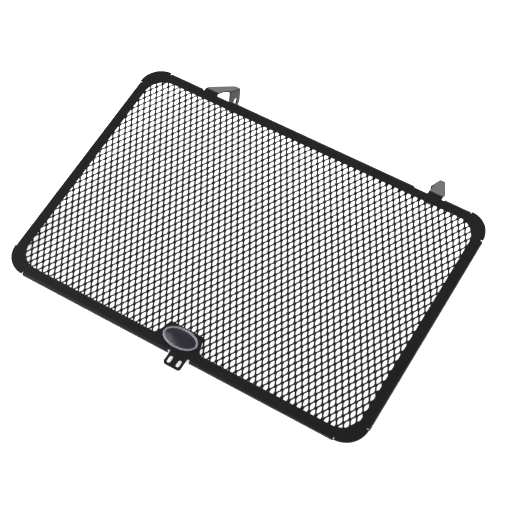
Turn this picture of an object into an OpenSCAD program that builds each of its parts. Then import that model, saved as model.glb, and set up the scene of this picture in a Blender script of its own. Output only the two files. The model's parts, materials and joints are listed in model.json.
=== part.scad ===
// Oil cooler guard: a folded frame with an expanded mesh grille, two upper
// brackets, a slotted lower tab and an oval badge.
// It lies on a flat surface with its front face up, resting on the two ears
// behind its top edge and on the flange of its bottom edge.
// X runs to the guard's right, Y from its bottom edge to its top edge and Z
// up. The origin is on the surface, under the middle of the space it covers.

/* [Frame] */
// Width of the frame over its side flanges
outer_w = 336; // [280:1:420]
// Height of the frame over its top and bottom flanges
outer_h = 230; // [180:1:300]
// Outline radius of the four corners
corner_r = 20; // [14:0.5:30]
// Width of the flat band round the window
band = 9.5; // [9:0.5:16]
// Corner radius of the window
window_r = 18; // [8:0.5:30]
// Thickness of the frame sheet
sheet = 1.2; // [0.8:0.1:2]

/* [Edge flanges] */
// Depth of the flanges, from the front face to their tips
flange_depth = 4; // [3.2:0.1:8]
// Inside radius of every bend
bend_r = 0.8; // [0.4:0.1:1.2]
// Width of the relief cut at each end of an edge
relief = 1; // [0.6:0.1:2]

/* [Badge seat] */
// Width of the flat top of the seat in the window
seat_w = 31; // [22:0.5:44]
// Height of the seat above the band
seat_h = 14.8; // [10:0.1:22]
// How far each side of the seat spreads from its top to its foot
seat_spread = 4.7; // [0:0.1:6]
// Radius of the seat's two top corners
seat_corner_r = 2; // [1:0.5:4]
// Radius of the fillet where the seat meets the band
seat_foot_r = 5; // [2:0.5:8]

/* [Badge] */
// Length of the oval badge
badge_w = 31.5; // [24:0.5:36]
// Height of the oval badge
badge_h = 18; // [14:0.5:20]
// Thickness of the badge at its crown
badge_t = 2; // [1.4:0.1:3]
// Thickness of the badge at its edge
badge_edge = 1; // [0.6:0.1:1.2]
// Height of the badge's centre above the frame's bottom edge
badge_rise = 14.2; // [12:0.1:16]

/* [Lower tab] */
// Width of the tab
tab_w = 16; // [15:0.5:24]
// How far the tab reaches below the frame
tab_drop = 10.3; // [9.5:0.1:20]
// Offset of the tab from the middle of the frame
tab_x = 6.2; // [-40:0.1:40]
// Radius of the tab's two lower corners
tab_r = 2.5; // [1:0.5:4]
// Width of each slot
slot_w = 3.2; // [2:0.1:4.2]
// Length of each slot, end to end
slot_l = 6.4; // [5:0.1:7.5]
// Distance between the centres of the two slots
slot_gap = 8.2; // [7:0.1:9]
// Depth of the slots' centres below the frame
slot_drop = 4.9; // [4.2:0.1:5.2]
// Width of the relief cut on each side of the tab
tab_relief = 2.3; // [1:0.1:4]

/* [Upper brackets] */
// Middle of the left bracket's root, from the frame's left side
left_in = 62; // [45:0.5:90]
// Middle of the right bracket's root, from the frame's right side
right_in = 54; // [45:0.5:90]
// Width of a bracket's root
root_w = 13; // [10:0.5:16]
// Length of the flat root beyond the frame's top edge
root_rise = 0.6; // [0.2:0.1:4]
// Angle by which the arm is bent back from the frame
arm_bend = 41.22; // [30:0.01:55]
// Length of the arm from its bend to its tip
arm_l = 35.5; // [32:0.5:40]
// Length of the arm's straight outer side before it slants inwards
arm_straight = 5; // [2:0.5:10]
// Where the arm's inner side starts to widen, along the arm
arm_widen = 10; // [6:0.5:12]
// Distance of the arm's tip from the middle of the root
tip_x = 4.5; // [0:0.5:5]
// Radius of the arm's tip
tip_r = 2.5; // [1:0.5:2.5]
// Distance of the ear's outer face from the middle of the root
ear_x = 10.5; // [10:0.5:14]
// Where the ear begins, along the arm
ear_start = 15.5; // [13:0.5:18]
// Reach of the ear from its bend to the centre of its slot
ear_reach = 13.5; // [11:0.5:20]
// Angle by which the ear leans towards the arm's tip
ear_lean = 26; // [0:1:35]
// Width of the slot in the ear
ear_slot_w = 6.5; // [4:0.1:8]
// Length of the slot in the ear, end to end
ear_slot_l = 11; // [9:0.5:13]
// Width of the wide relief cut on the inner side of a bracket
inner_relief = 13; // [4:0.5:18]
// Width of the narrow relief cut on the outer side of a bracket
outer_relief = 2.5; // [1:0.1:4]

/* [Mesh] */
// Pitch of the diamonds across the guard
mesh_x = 6.1; // [5:0.1:9]
// Pitch of the diamonds up the guard
mesh_y = 9.9; // [8:0.1:11]
// Width of each strand
strand = 0.9; // [0.7:0.05:1.5]
// Thickness of the mesh, over its two layers of strands
mesh_t = 1; // [0.6:0.1:1.6]
// Angle by which the mesh lies off square, clockwise
mesh_turn = 0.5; // [0:0.1:1]
// Offset of the diamonds to the left of the frame's middle
mesh_left = 1.5; // [0:0.1:6]
// Offset of the diamonds above the frame's middle
mesh_up = 1.7; // [0:0.1:6]
// Gap between the mesh's edge and the bends of the flanges
mesh_gap = 0.5; // [0.2:0.1:1]

/* [Hidden] */
$fn = 64;

// A length that reaches past everything near it
past = 60;
bend_out = bend_r + sheet;
window_w = outer_w - 2 * band;
window_h = outer_h - 2 * band;
// The flat front ends here, where the bends of the flanges begin
flat_w = outer_w - 2 * bend_out;
flat_h = outer_h - 2 * bend_out;
// Half the straight stretch of each edge, between the corners
edge_x = outer_w / 2 - corner_r;
edge_y = outer_h / 2 - corner_r;
left_x = left_in - outer_w / 2;
right_x = outer_w / 2 - right_in;

// The arm's bend begins here, and the ear hangs from this side of the arm
bend_y = outer_h / 2 + root_rise;
ear_edge = ear_x - bend_out;
// Centre and radius of the ear's round end, along the arm and out of it
ear_end = [
    (ear_start + arm_l) / 2 + ear_reach * sin(ear_lean),
    -bend_out - ear_reach * cos(ear_lean)
];
ear_r = (arm_l - ear_start) / 2 * cos(ear_lean);
// The same centre and the arm's tip, up the frame and out of its front face
ear_at = along_arm(ear_end);
tip_at = along_arm([arm_l, 0]);

// The flat surface touches the ears and the lower flange's tip, so the guard
// rests with its top edge raised by this angle and its middle by this height
ear_from_flange = ear_at + [outer_h / 2, flange_depth];
rest_tilt = asin(ear_r / norm(ear_from_flange)) - atan2(ear_from_flange.y, ear_from_flange.x);
lift = outer_h / 2 * sin(rest_tilt) + flange_depth * cos(rest_tilt);
// Ends of the space it covers, up the guard
high_y = max(laid_y(tip_at), laid_y(ear_at) + ear_r);
low_y = laid_y([-outer_h / 2 - tab_drop, 0]);

// Distance between the middles of neighbouring strands
strand_pitch = mesh_x * mesh_y / norm([mesh_x, mesh_y]);
mesh_n = ceil(norm([outer_w, outer_h]) / 2 / strand_pitch);
// The panel is a little off square, so it needs this much less all round
turn_room = outer_w / 2 * sin(mesh_turn);
panel_x = flat_w / 2 - mesh_gap - turn_room;
panel_y = flat_h / 2 - mesh_gap - turn_room;
// Its corners are cut off half way between the window's and the frame's
panel_corner = (window_w + window_h + outer_w + outer_h) / 4
    - (window_r + corner_r) * (1 - sqrt(0.5));
// Sides of the panel, each with its direction and how far out it lies
panel_sides = [
    [[1, 0], panel_x],
    [[-1, 0], panel_x],
    [[0, 1], panel_y],
    [[0, -1], panel_y],
    for (x = [-1, 1], y = [-1, 1])
        [[x, y], panel_corner]
];
// A strand has to cross at least one other, so shorter ones are left out
shortest_strand = norm([mesh_x, mesh_y]);

function along_arm(p) = [
    bend_y + (p.y + bend_out) * sin(arm_bend) + p.x * cos(arm_bend),
    (p.y + bend_out) * cos(arm_bend) - bend_out - p.x * sin(arm_bend)
];
function laid_y(p) = p.x * cos(rest_tilt) - p.y * sin(rest_tilt);
function unit(v) = v / norm(v);

// A corner of an outline given as points [x, y, radius], anticlockwise
function corner(points, i) = [points[i].x, points[i].y];
function to_last(points, i) =
    unit(corner(points, (i + len(points) - 1) % len(points)) - corner(points, i));
function to_next(points, i) =
    unit(corner(points, (i + 1) % len(points)) - corner(points, i));
function half_angle(points, i) = acos(to_last(points, i) * to_next(points, i)) / 2;
function is_convex(points, i) = cross(to_next(points, i), to_last(points, i)) > 0;
function arc_ends(points, i) =
    let (cut = points[i].z / tan(half_angle(points, i)))
    cut == 0 ? [corner(points, i)] : [
        corner(points, i) + cut * to_last(points, i),
        corner(points, i) + cut * to_next(points, i)
    ];
function arc_centre(points, i) =
    corner(points, i) + points[i].z / sin(half_angle(points, i))
    * unit(to_last(points, i) + to_next(points, i));

// Outline with straight sides and a true arc at each rounded corner
module rounded(points) {
    all = [0 : len(points) - 1];
    difference() {
        union() {
            polygon([for (i = all) for (p = arc_ends(points, i)) p]);
            for (i = all)
                if (points[i].z > 0 && is_convex(points, i))
                    translate(arc_centre(points, i))
                        circle(points[i].z);
        }
        for (i = all)
            if (points[i].z > 0 && !is_convex(points, i))
                translate(arc_centre(points, i))
                    circle(points[i].z);
    }
}

// Rectangle about the middle with four equal round corners
module rounded_box(w, h, r) {
    rounded([
        [-w / 2, -h / 2, r],
        [w / 2, -h / 2, r],
        [w / 2, h / 2, r],
        [-w / 2, h / 2, r]
    ]);
}

// Upright slot with round ends
module slot(w, l) {
    square([w, l - w], center = true);
    for (y = [-1, 1])
        translate([0, y * (l - w) / 2])
            circle(w / 2);
}

// Opening of the frame, with the badge seat standing in its lower side
module window() {
    foot_w = seat_w / 2 + seat_spread;
    seat_top = seat_h - window_h / 2;
    rounded([
        [-window_w / 2, -window_h / 2, window_r],
        [-foot_w, -window_h / 2, seat_foot_r],
        [-seat_w / 2, seat_top, seat_corner_r],
        [seat_w / 2, seat_top, seat_corner_r],
        [foot_w, -window_h / 2, seat_foot_r],
        [window_w / 2, -window_h / 2, window_r],
        [window_w / 2, window_h / 2, window_r],
        [-window_w / 2, window_h / 2, window_r]
    ]);
}

// Flat front of the frame without its edges' straight stretches
module front_outline() {
    difference() {
        rounded_box(outer_w, outer_h, corner_r);
        for (s = [-1, 1]) {
            translate([0, s * (flat_h + past) / 2])
                square([2 * edge_x, past], center = true);
            translate([s * (flat_w + past) / 2, 0])
                square([past, 2 * edge_y], center = true);
        }
    }
}

// Tab below the frame, carried up into the band
module tab_outline() {
    top = band / 2 - outer_h / 2;
    bottom = -outer_h / 2 - tab_drop;
    translate([tab_x, 0])
        rounded([
            [-tab_w / 2, bottom, tab_r],
            [tab_w / 2, bottom, tab_r],
            [tab_w / 2, top, 0],
            [-tab_w / 2, top, 0]
        ]);
}

// Flat roots of the two brackets, carried down into the band
module root_outlines() {
    low = outer_h / 2 - band / 2;
    for (x = [left_x, right_x])
        translate([x - root_w / 2, low])
            square([root_w, bend_y - low]);
}

// The whole of the frame that stays flat
module front() {
    translate([0, 0, -sheet])
        linear_extrude(sheet)
            difference() {
                union() {
                    front_outline();
                    tab_outline();
                    root_outlines();
                }
                window();
                for (s = [-1, 1])
                    translate([tab_x + s * slot_gap / 2, -outer_h / 2 - slot_drop])
                        slot(slot_w, slot_l);
            }
}

// Section of a square bend about its centre, from level to upright
module quarter_ring() {
    intersection() {
        difference() {
            circle(bend_out);
            circle(bend_r);
        }
        square(2 * bend_out);
    }
}

// Section of an edge flange, from the flat front to its tip
module flange_section() {
    translate([0, -bend_out])
        quarter_ring();
    translate([bend_r, -flange_depth])
        square([sheet, flange_depth - bend_out]);
}

// Flange along X from one place to another, at this distance up the frame
module flange(from, to, out) {
    translate([from, out, 0])
        rotate([90, 0, 90])
            linear_extrude(to - from)
                flange_section();
}

// Flanges of all four edges, broken at the brackets and at the tab
module flanges() {
    root = root_w / 2;
    top = flat_h / 2;
    end_x = edge_x - relief;
    end_y = edge_y - relief;
    flange(-end_x, left_x - root - outer_relief, top);
    flange(left_x + root + inner_relief, right_x - root - inner_relief, top);
    flange(right_x + root + outer_relief, end_x, top);
    rotate([0, 0, 180]) {
        flange(-end_x, -tab_x - tab_w / 2 - tab_relief, top);
        flange(tab_w / 2 + tab_relief - tab_x, end_x, top);
    }
    for (s = [-90, 90])
        rotate([0, 0, s])
            flange(-end_y, end_y, flat_w / 2);
}

// Flat arm of a bracket, from its bend to its tip
module arm_outline() {
    rounded([
        [-root_w / 2, 0, 0],
        [root_w / 2, 0, 0],
        [root_w / 2, arm_widen, 0],
        [ear_edge, ear_start, 0],
        [ear_edge, arm_l, 0],
        [tip_x, arm_l, tip_r],
        [-root_w / 2, arm_straight, 0]
    ]);
}

// Leaning ear with a round end and an upright slot through it
module ear_outline() {
    side = ear_r * [cos(ear_lean), sin(ear_lean)];
    difference() {
        union() {
            polygon([
                [ear_start, -bend_out],
                ear_end - side,
                ear_end + side,
                [arm_l, -bend_out]
            ]);
            translate(ear_end)
                circle(ear_r);
        }
        translate(ear_end)
            slot(ear_slot_w, ear_slot_l);
    }
}

// Turns about the centre of the arm's bend, to where Y runs along the arm
module bent_back() {
    translate([0, bend_y, -bend_out])
        rotate([-arm_bend, 0, 0])
            children();
}

// Bracket about the middle of its root, with its ear towards +X
module bracket() {
    intersection() {
        translate([-root_w, bend_y, -bend_out])
            cube([2 * root_w, 2 * bend_out, 2 * bend_out]);
        bent_back()
            translate([-root_w / 2, 0, 0])
                rotate([90, 0, 90])
                    linear_extrude(root_w)
                        mirror([1, 0])
                            quarter_ring();
    }
    bent_back()
        translate([0, 0, bend_out]) {
            translate([0, 0, -sheet])
                linear_extrude(sheet)
                    arm_outline();
            translate([ear_edge, arm_l, -bend_out])
                rotate([90, 0, 0])
                    linear_extrude(arm_l - ear_start)
                        quarter_ring();
            translate([ear_x - sheet, 0, 0])
                rotate([90, 0, 90])
                    linear_extrude(sheet)
                        ear_outline();
        }
}

// Tips the guard from its own drawing plane to the way it rests
module laid() {
    translate([0, -(high_y + low_y) / 2, lift])
        rotate([rest_tilt, 0, 0])
            children();
}

// One folded sheet: front, edge flanges, lower tab and both brackets
module frame() {
    color("#26282a")
        laid() {
            front();
            flanges();
            translate([left_x, 0, 0])
                bracket();
            translate([right_x, 0, 0])
                mirror([1, 0, 0])
                    bracket();
        }
}

// Offset from the middle of the strand that is nth from the panel's middle
function strand_at(n, lean) =
    (n * strand_pitch + [-mesh_left + mesh_x / 2, mesh_up] * across(lean)) * across(lean);

// Directions along and across the strands that lean to the right or the left
function along(lean) = unit([lean * mesh_x, mesh_y]);
function across(lean) = unit([mesh_y, -lean * mesh_x]);

// Where a strand leaves the panel's outline, along it from its own middle
function leaves(p, dir) =
    min([
        for (side = panel_sides)
            if (side[0] * dir > 0)
                (side[1] - side[0] * p) / (side[0] * dir)
    ]);

// One layer of parallel strands, each cut off at the panel's outline
module strands(lean) {
    for (n = [-mesh_n : mesh_n]) {
        p = strand_at(n, lean);
        end = leaves(p, along(lean));
        start = leaves(p, -along(lean));
        if (end + start > shortest_strand) {
            side = strand / 2 * across(lean);
            linear_extrude(mesh_t / 2)
                polygon([
                    p - start * along(lean) - side,
                    p - start * along(lean) + side,
                    p + end * along(lean) + side,
                    p + end * along(lean) - side
                ]);
        }
    }
}

// Grille panel behind the window, bonded to the back of the band. The strands
// that lean left lie in front of those that lean right and are one with them
// where they cross, as the raised strands of expanded mesh are.
module mesh() {
    color("#1c1d1e")
        laid()
            translate([0, 0, -sheet - mesh_t])
                rotate([0, 0, -mesh_turn]) {
                    strands(1);
                    translate([0, 0, mesh_t / 2])
                        strands(-1);
                }
}

// Domed oval badge on its seat
module badge() {
    rim_part = 0.97;
    color("#8c9094")
        laid()
            translate([0, badge_rise - outer_h / 2, 0])
                scale([1, badge_h / badge_w, 1])
                    rotate_extrude()
                        polygon([
                            [0, 0],
                            [badge_w / 2, 0],
                            [badge_w / 2, badge_edge * 0.8],
                            [rim_part * badge_w / 2, badge_edge],
                            for (p = [0.9 : -0.1 : 0])
                                [
                                    p * badge_w / 2,
                                    badge_edge + (badge_t - badge_edge) * (1 - p ^ 2)
                                ]
                        ]);
}

frame();
mesh();
badge();
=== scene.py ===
# %% [markdown]
# An oil cooler guard lies face up on a pale table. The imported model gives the
# folded frame, and this script adds what a photograph shows beyond it: the
# raised strands of the expanded mesh, the badge's bright rim and dark dome, and
# the finish of each surface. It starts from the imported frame, so that every new
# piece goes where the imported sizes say. The strands' section, the grille's
# offset and turn, the coats and the lights were set by comparing pictures.

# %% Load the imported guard
import json
import math
import bpy
from mathutils import Matrix, Vector


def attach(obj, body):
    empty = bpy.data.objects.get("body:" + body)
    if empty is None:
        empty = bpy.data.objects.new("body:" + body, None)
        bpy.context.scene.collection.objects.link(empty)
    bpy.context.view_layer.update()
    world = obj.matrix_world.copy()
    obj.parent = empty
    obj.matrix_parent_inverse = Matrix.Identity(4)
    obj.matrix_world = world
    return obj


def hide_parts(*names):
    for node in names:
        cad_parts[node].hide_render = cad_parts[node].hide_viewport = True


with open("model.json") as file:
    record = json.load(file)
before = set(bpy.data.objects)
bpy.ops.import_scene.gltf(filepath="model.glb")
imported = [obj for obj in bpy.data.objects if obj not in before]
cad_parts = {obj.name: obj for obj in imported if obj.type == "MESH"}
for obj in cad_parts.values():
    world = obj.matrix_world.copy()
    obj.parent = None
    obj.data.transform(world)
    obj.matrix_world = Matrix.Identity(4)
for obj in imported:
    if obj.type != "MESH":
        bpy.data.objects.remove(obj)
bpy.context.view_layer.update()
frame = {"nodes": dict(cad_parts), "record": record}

# %% [markdown]
# The guard rests on its two ears and its lower flange, so its flat front is
# raised at the top edge. New pieces are far easier to shape flat and square,
# so they are made in the guard's own plane and laid down at the end. The lower
# tab's back face is stated in the record, and it gives both the slope and the
# place of that plane.

# %% The guard's own plane
MM = 0.001
SHEET = 1.2 * MM
OUTER_H = 230 * MM
TAB_POINT = Vector((6.2 * MM, -OUTER_H / 2 - 4.9 * MM, -SHEET))

mounts = {mount["name"]: mount for mount in frame["record"]["mounts"]}
tab = mounts["tab_back"]
rest_tilt = math.atan2(tab["axis"][1], -tab["axis"][2])
turn = Matrix.Rotation(rest_tilt, 4, "X")
laid = Matrix.Translation(Vector(tab["pos_m"]) - turn @ TAB_POINT) @ turn
print("top edge raised by", round(math.degrees(rest_tilt), 2), "degrees")


def lay_down(piece):
    """Moves a piece from the guard's own plane to where the guard lies."""
    bpy.context.view_layer.update()
    piece.matrix_world = laid @ piece.matrix_world
    select_only(piece)
    bpy.ops.object.transform_apply(location=True, rotation=True, scale=True)


def select_only(piece):
    """Makes one piece the only selected and active one."""
    bpy.ops.object.select_all(action="DESELECT")
    piece.select_set(True)
    bpy.context.view_layer.objects.active = piece


# %% [markdown]
# The camera comes first, because every look is judged through it. Its place,
# its lens and the way it faces were worked out from the guard's four straight
# edges in the photograph, so they are given against the guard's own plane, in
# the order right, down and forward.

# %% Camera
PICTURE_PX = 512
FOCAL_PX = 1449.05
SENSOR_MM = 36
VIEW_RIGHT = Vector((0.8528, 0.5174, -0.0713))
VIEW_DOWN = Vector((0.4237, -0.7651, -0.4849))
VIEW_FORWARD = Vector((-0.3054, 0.3833, -0.8717))
CAMERA_AT = Vector((375.5, -461.4, 1033.1)) * MM

bpy.ops.object.camera_add()
camera = bpy.context.object
camera.name = "camera"
camera.data.lens = SENSOR_MM * FOCAL_PX / PICTURE_PX
camera.data.sensor_width = SENSOR_MM
axes = Matrix((VIEW_RIGHT, -VIEW_DOWN, -VIEW_FORWARD)).transposed()
camera.matrix_world = laid @ Matrix.Translation(CAMERA_AT) @ axes.to_4x4()
bpy.context.scene.camera = camera
height = camera.matrix_world.translation.z
print("lens", round(camera.data.lens, 2), "mm, height", round(height, 3))

# %% [markdown]
# The ground is pure white with no shadow, as on a lit product table. A plain
# plane that gives off light of its own stands in for it, so the guard's shadow
# nearly vanishes. The slight grain in its colour doesn't show where the picture
# is pure white.

# %% Floor
FLOOR_SIZE = 6.0
TABLE_GLOW = 0.55
PAPER_ROUGHNESS = 0.9
PAPER_SPECULAR = 0.2
PAPER_GRAIN = 30


def new_material(name):
    """A material with nothing in it but its shader and its output."""
    material = bpy.data.materials.new(name)
    material.use_nodes = True
    nodes = material.node_tree.nodes
    return material, nodes, material.node_tree.links, nodes["Principled BSDF"]


bpy.ops.mesh.primitive_plane_add(size=FLOOR_SIZE, location=(0, 0, 0))
floor = bpy.context.object
floor.name = "floor"
material, nodes, links, shader = new_material("floor_paper")
shader.inputs["Roughness"].default_value = PAPER_ROUGHNESS
shader.inputs["Specular IOR Level"].default_value = PAPER_SPECULAR
shader.inputs["Emission Color"].default_value = (1, 1, 1, 1)
shader.inputs["Emission Strength"].default_value = TABLE_GLOW
coordinates = nodes.new("ShaderNodeTexCoord")
grain = nodes.new("ShaderNodeTexNoise")
grain.inputs["Scale"].default_value = PAPER_GRAIN
tone = nodes.new("ShaderNodeMixRGB")
tone.inputs["Color1"].default_value = (0.86, 0.86, 0.86, 1)
tone.inputs["Color2"].default_value = (0.89, 0.89, 0.89, 1)
links.new(coordinates.outputs["Object"], grain.inputs["Vector"])
links.new(grain.outputs["Fac"], tone.inputs["Fac"])
links.new(tone.outputs["Color"], shader.inputs["Base Color"])
floor.data.materials.append(material)
print("floor", FLOOR_SIZE, "m across")

# %% [markdown]
# The photograph has no hard shadow, so the light comes from a bright room, from
# three large panels and from a small one low in front. The dark coat shows
# mostly what it mirrors: the panel low behind the guard lights the arms, which
# slope away from the camera, and leaves the flat front dark.

# %% Lights
WORLD_STRENGTH = 1.0


def soft_panel(name, place, aim, size, power):
    """A square soft light, size in metres and power in watts, facing a point."""
    bpy.ops.object.light_add(type="AREA", location=place)
    light = bpy.context.object
    light.name = name
    light.data.size = size
    light.data.energy = power
    towards = Vector(aim) - Vector(place)
    light.rotation_euler = towards.to_track_quat("-Z", "Y").to_euler()


soft_panel("light_left", place=(-1.3, -0.5, 1.5), aim=(0, 0, 0), size=1.2, power=26)
soft_panel("light_right", place=(1.5, 0.3, 1.3), aim=(0, 0, 0), size=1.0, power=12)
soft_panel(
    "light_front", place=(-0.5, -0.8, 0.5), aim=(-0.1, -0.1, 0), size=0.35, power=7
)
soft_panel(
    "light_behind", place=(-0.2, 1.7, 0.8), aim=(0, 0.1, 0), size=1.5, power=46
)

world = bpy.data.worlds.new("bright_room")
bpy.context.scene.world = world
world.use_nodes = True
room = world.node_tree.nodes["Background"]
room.inputs["Color"].default_value = (1, 1, 1, 1)
room.inputs["Strength"].default_value = WORLD_STRENGTH
bpy.context.scene.view_settings.view_transform = "Standard"
print("room strength", WORLD_STRENGTH)

# %% [markdown]
# Powder coat is a baked plastic skin. It is satin rather than shiny, its gloss
# wanders a little from place to place, and close up it has the fine dimples of
# orange peel. One function makes it for the frame and, in a thinner and duller
# form, for the mesh, with its pattern on Object coordinates so that the dimples
# keep their real size everywhere. It mirrors little face on, since the flat
# front is nearly black.

# %% Powder coat
COAT_SPECULAR = 0.08
COAT_CLOUD = 22
COAT_CLOUD_DETAIL = 3
GLOSS_SPREAD = 0.06
PEEL_DETAIL = 1
PEEL_STRENGTH = 0.5


def powder_coat(name, dark, pale, rough, peel_mm, peel_depth):
    """A satin black coat with uneven gloss and orange peel of a real size."""
    material, nodes, links, shader = new_material(name)
    shader.inputs["Specular IOR Level"].default_value = COAT_SPECULAR
    coordinates = nodes.new("ShaderNodeTexCoord")
    cloud = nodes.new("ShaderNodeTexNoise")
    cloud.inputs["Scale"].default_value = COAT_CLOUD
    cloud.inputs["Detail"].default_value = COAT_CLOUD_DETAIL
    tone = nodes.new("ShaderNodeMixRGB")
    tone.inputs["Color1"].default_value = (*dark, 1)
    tone.inputs["Color2"].default_value = (*pale, 1)
    gloss = nodes.new("ShaderNodeMapRange")
    gloss.inputs["To Min"].default_value = rough - GLOSS_SPREAD
    gloss.inputs["To Max"].default_value = rough + GLOSS_SPREAD
    peel = nodes.new("ShaderNodeTexNoise")
    peel.inputs["Scale"].default_value = 1 / (peel_mm * MM)
    peel.inputs["Detail"].default_value = PEEL_DETAIL
    bump = nodes.new("ShaderNodeBump")
    bump.inputs["Strength"].default_value = PEEL_STRENGTH
    bump.inputs["Distance"].default_value = peel_depth * MM
    for pattern in (cloud, peel):
        links.new(coordinates.outputs["Object"], pattern.inputs["Vector"])
    links.new(cloud.outputs["Fac"], tone.inputs["Fac"])
    links.new(cloud.outputs["Fac"], gloss.inputs["Value"])
    links.new(tone.outputs["Color"], shader.inputs["Base Color"])
    links.new(gloss.outputs["Result"], shader.inputs["Roughness"])
    links.new(peel.outputs["Fac"], bump.inputs["Height"])
    links.new(bump.outputs["Normal"], shader.inputs["Normal"])
    return material


frame_coat = powder_coat(
    "frame_coat", dark=(0.002, 0.002, 0.0026), pale=(0.004, 0.004, 0.0048),
    rough=0.4, peel_mm=0.9, peel_depth=0.04,
)
mesh_coat = powder_coat(
    "mesh_coat", dark=(0.003, 0.003, 0.003), pale=(0.006, 0.006, 0.006),
    rough=0.45, peel_mm=0.5, peel_depth=0.03,
)
folded_frame = frame["nodes"]["frame"]
folded_frame.data.materials.clear()
folded_frame.data.materials.append(frame_coat)
print("coats", frame_coat.name, mesh_coat.name)

# %% [markdown]
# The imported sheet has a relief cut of 1 mm at each end of every flange. These
# eight short lengths of bent sheet were meant to close the cuts, but they don't:
# they bend inwards where the frame's flanges bend outwards. So they stand out
# behind the band, beside the cuts, and the cuts stay open. One length is a strip
# of sheet spun a quarter turn and drawn down to the depth of the flange's tip,
# and it is copied round the frame.

# %% Short bent lengths beside the relief cuts
OUTER_W = 336 * MM
CORNER_R = 20 * MM
BEND_R = 0.8 * MM
BEND_OUT = BEND_R + SHEET
FLANGE_DEPTH = 4 * MM
RELIEF = 1 * MM
BEND_STEPS = 6
SMOOTH_ANGLE = math.radians(40)

bpy.ops.mesh.primitive_plane_add(
    size=1, location=(RELIEF / 2, 0, -SHEET / 2), rotation=(math.radians(90), 0, 0)
)
bend_end = bpy.context.object
bend_end.name = "corner_bend_ends"
bend_end.scale = (RELIEF, SHEET, 1)
bpy.ops.object.transform_apply(location=True, rotation=True, scale=True)
bpy.ops.object.mode_set(mode="EDIT")
bpy.ops.mesh.select_all(action="SELECT")
bpy.ops.mesh.spin(
    steps=BEND_STEPS, angle=math.radians(90),
    center=(0, 0, -BEND_OUT), axis=(-1, 0, 0),
)
bpy.ops.mesh.extrude_region_move(
    TRANSFORM_OT_translate={"value": (0, 0, BEND_OUT - FLANGE_DEPTH)}
)
bpy.ops.mesh.select_all(action="SELECT")
bpy.ops.mesh.normals_make_consistent(inside=False)
bpy.ops.object.mode_set(mode="OBJECT")
across = (OUTER_W / 2 - CORNER_R, OUTER_H / 2 - BEND_OUT)
upright = (OUTER_H / 2 - CORNER_R, OUTER_W / 2 - BEND_OUT)
lengths = []
for quarter, (reach, out) in enumerate((across, upright, across, upright)):
    around = Matrix.Rotation(math.radians(90 * quarter), 4, "Z")
    for start in (reach - RELIEF, -reach):
        length = bend_end.copy()
        length.data = bend_end.data.copy()
        bpy.context.collection.objects.link(length)
        length.matrix_world = around @ Matrix.Translation((start, out, 0))
        lengths.append(length)
bpy.data.objects.remove(bend_end)
select_only(lengths[0])
for length in lengths[1:]:
    length.select_set(True)
bpy.ops.object.join()
bend_ends = lengths[0]
bend_ends.name = "corner_bend_ends"
select_only(bend_ends)
bpy.ops.object.transform_apply(location=True, rotation=True, scale=True)
bpy.ops.object.shade_smooth_by_angle(angle=SMOOTH_ANGLE)
lay_down(bend_ends)
bend_ends.data.materials.append(frame_coat)
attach(bend_ends, "root")
print("bend ends", len(bend_ends.data.polygons), "faces")

# %% [markdown]
# Expanded mesh is one sheet that is slit and pulled open. Each strand stays
# flat but tips over, and runs from the low side of one knuckle to the high side
# of the next, so the mesh is rough to the touch and catches light on one side.
# Only one short zigzag has to be modelled: its section is a small tipped bar,
# pulled out knuckle, strand, knuckle, strand. Arrays repeat it up the guard and
# across it.

# %% One zigzag of a strand
PITCH_X = 6.1 * MM
PITCH_Y = 9.9 * MM
STRAND_W = 1.6 * MM
STRAND_T = 1.2 * MM
STRAND_TIP = math.radians(-30)
KNUCKLE = 1.8 * MM
EDGE_BEVEL = 0.1 * MM
FACING = 0.9
SQUARE_ON = 0.99

half_shift = Vector((math.cos(STRAND_TIP), 0, -math.sin(STRAND_TIP))) * STRAND_W / 2
to_next = Vector((PITCH_X / 2, PITCH_Y / 2 - KNUCKLE, 0)) - 2 * half_shift
back_again = Vector((-to_next.x, to_next.y, -to_next.z))


def select_faces(piece, chosen):
    """Selects the faces for which chosen(face) is true, and enters edit mode."""
    bpy.ops.object.mode_set(mode="OBJECT")
    for part in (piece.data.vertices, piece.data.edges):
        for item in part:
            item.select = False
    for face in piece.data.polygons:
        face.select = chosen(face)
    bpy.ops.object.mode_set(mode="EDIT")
    bpy.ops.mesh.select_mode(type="FACE")


bpy.ops.object.select_all(action="DESELECT")
bpy.ops.mesh.primitive_cube_add(size=1, location=(0, 0, 0))
zigzag = bpy.context.object
zigzag.name = "mesh_strands"
zigzag.scale = (STRAND_W, KNUCKLE, STRAND_T)
bpy.ops.object.transform_apply(location=True, rotation=True, scale=True)

bpy.ops.object.mode_set(mode="OBJECT")
for edge in zigzag.data.edges:
    ends = [zigzag.data.vertices[v].co for v in edge.vertices]
    edge.select = abs(ends[0].y - ends[1].y) > KNUCKLE / 2
for face in zigzag.data.polygons:
    face.select = False
bpy.ops.object.mode_set(mode="EDIT")
bpy.ops.mesh.select_mode(type="EDGE")
bpy.ops.mesh.bevel(offset=EDGE_BEVEL, segments=1)
bpy.ops.object.mode_set(mode="OBJECT")
zigzag.rotation_euler = (0, STRAND_TIP, 0)
bpy.ops.object.transform_apply(location=False, rotation=True, scale=False)

select_faces(zigzag, lambda face: face.normal.y > FACING)
for step in (to_next, Vector((0, KNUCKLE, 0)), back_again):
    bpy.ops.mesh.extrude_region_move(TRANSFORM_OT_translate={"value": step})
bpy.ops.object.mode_set(mode="OBJECT")
select_faces(zigzag, lambda face: abs(face.normal.y) > SQUARE_ON)
bpy.ops.mesh.delete(type="ONLY_FACE")
bpy.ops.object.mode_set(mode="OBJECT")
print("one zigzag has", len(zigzag.data.polygons), "faces")

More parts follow.
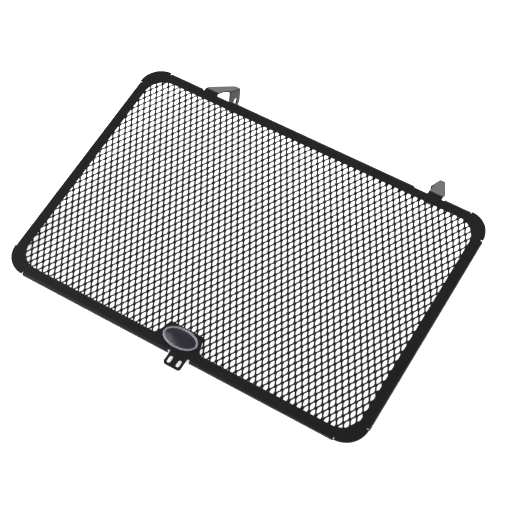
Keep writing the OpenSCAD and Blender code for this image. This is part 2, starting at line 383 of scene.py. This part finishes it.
# %% [markdown]
# The rows of diamonds are staggered, so the second column of strands is the
# first one moved by half a pitch both ways. Both columns are repeated together.
# The mesh was laid in a little off square and off centre, which shows where the
# diamonds meet the band. Its offset and turn come from comparing the rendered
# grille with the photographed one.

# %% Repeat the strands over the panel
MESH_LEFT = 1.2 * MM
MESH_UP = 1.75 * MM
MESH_TURN = math.radians(-0.55)
ROWS = 24
COLUMNS = 56
MERGE_WITHIN = 0.01 * MM


def repeat(piece, name, offset, count):
    """Repeats a piece in a straight line and applies the modifier."""
    array = piece.modifiers.new(name, "ARRAY")
    array.use_relative_offset = False
    array.use_constant_offset = True
    array.constant_offset_displace = offset
    array.count = count
    array.use_merge_vertices = True
    array.merge_threshold = MERGE_WITHIN
    select_only(piece)
    bpy.ops.object.modifier_apply(modifier=array.name)


repeat(zigzag, "up_the_guard", (0, PITCH_Y, 0), ROWS)
second = zigzag.copy()
second.data = zigzag.data.copy()
bpy.context.collection.objects.link(second)
second.location = (PITCH_X / 2, PITCH_Y / 2, 0)
select_only(zigzag)
second.select_set(True)
bpy.ops.object.join()
repeat(zigzag, "across_the_guard", (PITCH_X, 0, 0), COLUMNS)
print("strands", len(zigzag.data.polygons), "faces")

# %% [markdown]
# Shears cut the panel to size, so it ends in cuts through its strands. Bisect
# does the same: it drops what is outside a plane and fills the cut, apart from a
# few strands that stay open. The corners are snipped off to clear the round
# corners of the frame.

# %% Trim the panel and lay it behind the band
PANEL_X = 163.6 * MM
PANEL_Y = 110.6 * MM
PANEL_CORNER = 260.5 * MM
MESH_GAP = 0.02 * MM
BACK_OF_BAND = -SHEET - MESH_GAP


def cut_outside(piece, point, outward):
    """Drops everything beyond a plane and fills the cut."""
    select_only(piece)
    bpy.ops.object.mode_set(mode="EDIT")
    bpy.ops.mesh.select_all(action="SELECT")
    bpy.ops.mesh.bisect(
        plane_co=point, plane_no=outward, use_fill=True, clear_outer=True
    )
    bpy.ops.object.mode_set(mode="OBJECT")


first_knuckle = Vector((PITCH_X / 2 - MESH_LEFT, MESH_UP, 0))
start = first_knuckle + half_shift
start.x -= PITCH_X * (COLUMNS // 2)
start.y -= PITCH_Y * (ROWS // 2)
zigzag.location = start
select_only(zigzag)
bpy.ops.object.transform_apply(location=True, rotation=False, scale=False)
zigzag.rotation_euler = (0, 0, MESH_TURN)
bpy.ops.object.transform_apply(location=False, rotation=True, scale=False)
for side in (-1, 1):
    cut_outside(zigzag, (side * PANEL_X, 0, 0), (side, 0, 0))
    cut_outside(zigzag, (0, side * PANEL_Y, 0), (0, side, 0))
    for other in (-1, 1):
        cut_outside(zigzag, (side * PANEL_CORNER, 0, 0), (side, other, 0))
highest = max(vertex.co.z for vertex in zigzag.data.vertices)
zigzag.location = (0, 0, BACK_OF_BAND - highest)
lay_down(zigzag)
zigzag.data.materials.clear()
zigzag.data.materials.append(mesh_coat)
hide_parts("mesh")
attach(zigzag, "root")
print("panel", len(zigzag.data.polygons), "faces")

# %% [markdown]
# The badge is an oval shell with a bright rim, filled with dark resin that
# stands up as a dome. Rim and resin are two pieces, because light treats them so
# differently. The rim's metal is dark and polished, so it is bright only where
# it mirrors the room.

# %% Finishes of the badge
RIM_CLOUD = 400
RIM_ROUGHNESS = (0.22, 0.34)
RESIN_SPECULAR = 0.2
RESIN_ROUGHNESS = 0.2
RESIN_CLOUD = 150
RESIN_WAVE = 0.1 * MM
RESIN_WAVE_STRENGTH = 0.15


def bright_rim():
    """Dark polished metal with the faint cloudiness of handling."""
    material, nodes, links, shader = new_material("badge_rim")
    shader.inputs["Metallic"].default_value = 1
    coordinates = nodes.new("ShaderNodeTexCoord")
    cloud = nodes.new("ShaderNodeTexNoise")
    cloud.inputs["Scale"].default_value = RIM_CLOUD
    tone = nodes.new("ShaderNodeMixRGB")
    tone.inputs["Color1"].default_value = (0.15, 0.15, 0.18, 1)
    tone.inputs["Color2"].default_value = (0.22, 0.22, 0.26, 1)
    gloss = nodes.new("ShaderNodeMapRange")
    gloss.inputs["To Min"].default_value = RIM_ROUGHNESS[0]
    gloss.inputs["To Max"].default_value = RIM_ROUGHNESS[1]
    links.new(coordinates.outputs["Object"], cloud.inputs["Vector"])
    links.new(cloud.outputs["Fac"], tone.inputs["Fac"])
    links.new(cloud.outputs["Fac"], gloss.inputs["Value"])
    links.new(tone.outputs["Color"], shader.inputs["Base Color"])
    links.new(gloss.outputs["Result"], shader.inputs["Roughness"])
    return material


def dark_resin():
    """Near-black resin under a clear, slightly wavy dome."""
    material, nodes, links, shader = new_material("badge_resin")
    shader.inputs["Specular IOR Level"].default_value = RESIN_SPECULAR
    shader.inputs["Roughness"].default_value = RESIN_ROUGHNESS
    coordinates = nodes.new("ShaderNodeTexCoord")
    cloud = nodes.new("ShaderNodeTexNoise")
    cloud.inputs["Scale"].default_value = RESIN_CLOUD
    tone = nodes.new("ShaderNodeMixRGB")
    tone.inputs["Color1"].default_value = (0.004, 0.004, 0.008, 1)
    tone.inputs["Color2"].default_value = (0.008, 0.008, 0.014, 1)
    bump = nodes.new("ShaderNodeBump")
    bump.inputs["Strength"].default_value = RESIN_WAVE_STRENGTH
    bump.inputs["Distance"].default_value = RESIN_WAVE
    links.new(coordinates.outputs["Object"], cloud.inputs["Vector"])
    links.new(cloud.outputs["Fac"], tone.inputs["Fac"])
    links.new(cloud.outputs["Fac"], bump.inputs["Height"])
    links.new(tone.outputs["Color"], shader.inputs["Base Color"])
    links.new(bump.outputs["Normal"], shader.inputs["Normal"])
    return material


# %% [markdown]
# Rim and dome each start as a disc squeezed to an oval. The rim is inset by one
# width all the way round, though the photographed one is wider at its lower
# right. The dome rises in rings that close in towards its middle.

# %% Badge rim and dome
BADGE_W = 31.5 * MM
BADGE_H = 18.0 * MM
BADGE_RISE = 14.2 * MM
BADGE_EDGE = 1.0 * MM
RIM_W = 1.7 * MM
RIM_ROUND = 0.35 * MM
RIM_SEGMENTS = 4
RIM_SHARP = math.radians(50)
FIELD_DROP = 0.35 * MM
OVAL_POINTS = 96
badge_middle = Vector((0, BADGE_RISE - OUTER_H / 2, 0))


def oval_disc(name, width, height, thick):
    """A flat oval disc on the guard's front, ready to be shaped."""
    bpy.ops.object.select_all(action="DESELECT")
    bpy.ops.mesh.primitive_cylinder_add(
        vertices=OVAL_POINTS, radius=0.5, depth=1, location=(0, 0, 0.5)
    )
    piece = bpy.context.object
    piece.name = name
    bpy.ops.object.transform_apply(location=True, rotation=False, scale=False)
    piece.scale = (width, height, thick)
    piece.location = badge_middle
    bpy.ops.object.transform_apply(location=True, rotation=False, scale=True)
    return piece


rim = oval_disc("badge_rim", BADGE_W, BADGE_H, BADGE_EDGE)
select_faces(rim, lambda face: face.normal.z > FACING)
bpy.ops.mesh.inset(thickness=RIM_W)
bpy.ops.mesh.extrude_region_move(TRANSFORM_OT_translate={"value": (0, 0, -FIELD_DROP)})
bpy.ops.object.mode_set(mode="OBJECT")
bevel = rim.modifiers.new("rounded_rim", "BEVEL")
bevel.width = RIM_ROUND
bevel.segments = RIM_SEGMENTS
bevel.limit_method = "ANGLE"
bevel.angle_limit = RIM_SHARP
select_only(rim)
bpy.ops.object.modifier_apply(modifier=bevel.name)
bpy.ops.object.shade_smooth_by_angle(angle=SMOOTH_ANGLE)
lay_down(rim)
rim.data.materials.append(bright_rim())

DOME_STEPS = 7
DOME_RISE = 1.05 * MM
DOME_GAP = 0.1 * MM
DOME_CLOSING = 0.96
DOME_SMOOTH = math.radians(50)
dome = oval_disc(
    "badge_dome", BADGE_W - 2 * RIM_W - DOME_GAP, BADGE_H - 2 * RIM_W - DOME_GAP,
    BADGE_EDGE - DOME_GAP,
)
select_faces(dome, lambda face: face.normal.z > FACING)
for step in range(DOME_STEPS):
    low, high = step / DOME_STEPS, (step + 1) / DOME_STEPS
    rise = DOME_RISE * (high * (2 - high) - low * (2 - low))
    shrink = (1 - DOME_CLOSING * high) / (1 - DOME_CLOSING * low)
    bpy.ops.mesh.extrude_region_move(TRANSFORM_OT_translate={"value": (0, 0, rise)})
    bpy.ops.transform.resize(value=(shrink, shrink, 1), center_override=badge_middle)
bpy.ops.object.mode_set(mode="OBJECT")
select_only(dome)
bpy.ops.object.shade_smooth_by_angle(angle=DOME_SMOOTH)
lay_down(dome)
dome.data.materials.append(dark_resin())
for piece in (rim, dome):
    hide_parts("badge")
    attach(piece, "root")
print("badge", len(rim.data.polygons), "and", len(dome.data.polygons), "faces")
